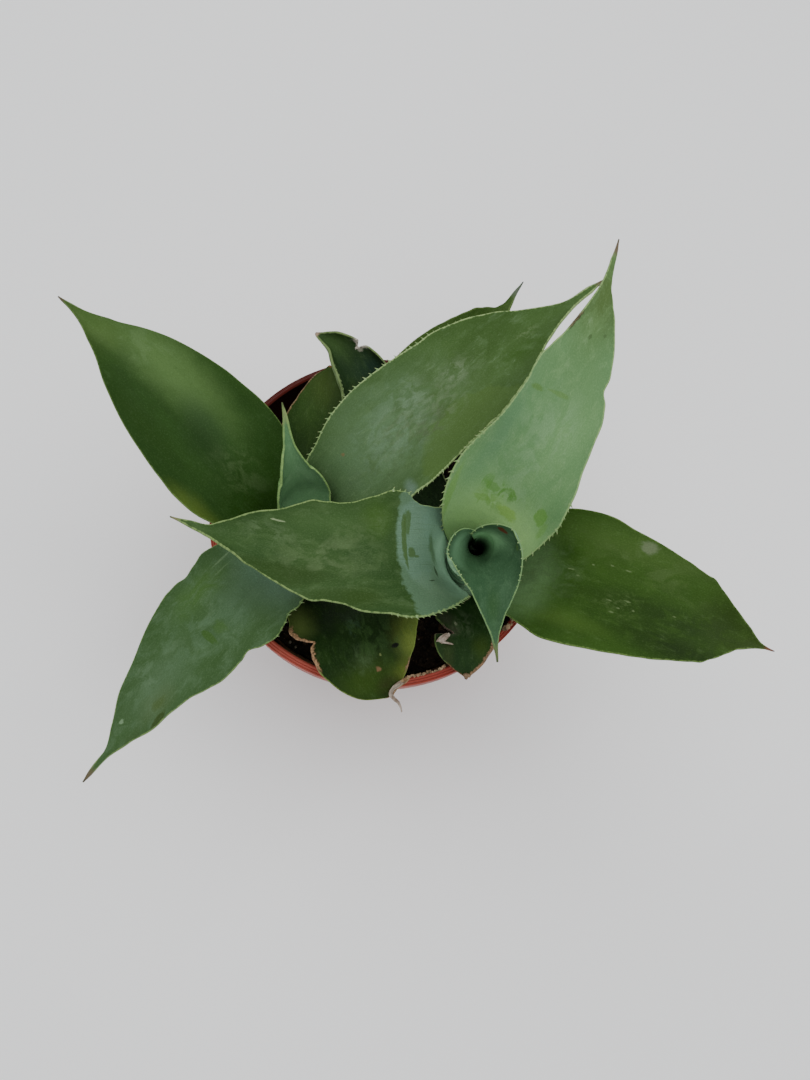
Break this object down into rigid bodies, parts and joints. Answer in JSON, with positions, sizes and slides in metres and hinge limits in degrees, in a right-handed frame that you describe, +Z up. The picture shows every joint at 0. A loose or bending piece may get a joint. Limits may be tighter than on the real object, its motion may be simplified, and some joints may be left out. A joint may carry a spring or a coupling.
{
  "type": "potted agave",
  "caption": "Succulent agave with two rosettes of broad, toothed, needle-tipped green leaves in soil, in a round brick-red plastic nursery pot.",
  "frame": {"origin": "centre of the pot's foot, on the surface it stands on", "axes": "+Z up along the pot's axis, +X to the right towards the main rosette, +Y to the back, where the two tallest leaves point"},
  "size_m": [0.3043, 0.2211, 0.2047],
  "materials": {
    "pot_plastic": "brick-red moulded plastic, dull, dusty, with dried soil at the rim",
    "potting_soil": "moist dark potting mix, crumbly, matt",
    "stem": "short fleshy stem, dull green-brown with leaf scars",
    "leaf_young": "young waxy leaf, blue-green, satin",
    "leaf_pale": "waxy leaf, pale grey-green, satin",
    "leaf_green": "mature leaf, deep green with pale margins, satin to glossy",
    "leaf_old": "older leaf, dark green with tan corky damage, satin"
  },
  "bodies": {
    "root": {"pot": "pot_plastic", "soil": "potting_soil", "main_stem": "stem", "offset_stem": "stem", "main_bud": "leaf_young", "main_leaf_spear": "leaf_young", "main_leaf_upper_right": "leaf_pale", "main_leaf_left": "leaf_green", "main_leaf_right": "leaf_green", "main_leaf_front_small": "leaf_old", "main_leaf_back_folded": "leaf_old", "offset_leaf_spear": "leaf_young", "offset_leaf_broad": "leaf_green", "offset_leaf_upper_left": "leaf_green", "offset_leaf_lower_left": "leaf_green", "offset_leaf_front": "leaf_old", "offset_leaf_back_short": "leaf_old", "offset_leaf_back_under": "leaf_old"}
  },
  "joints": []
}
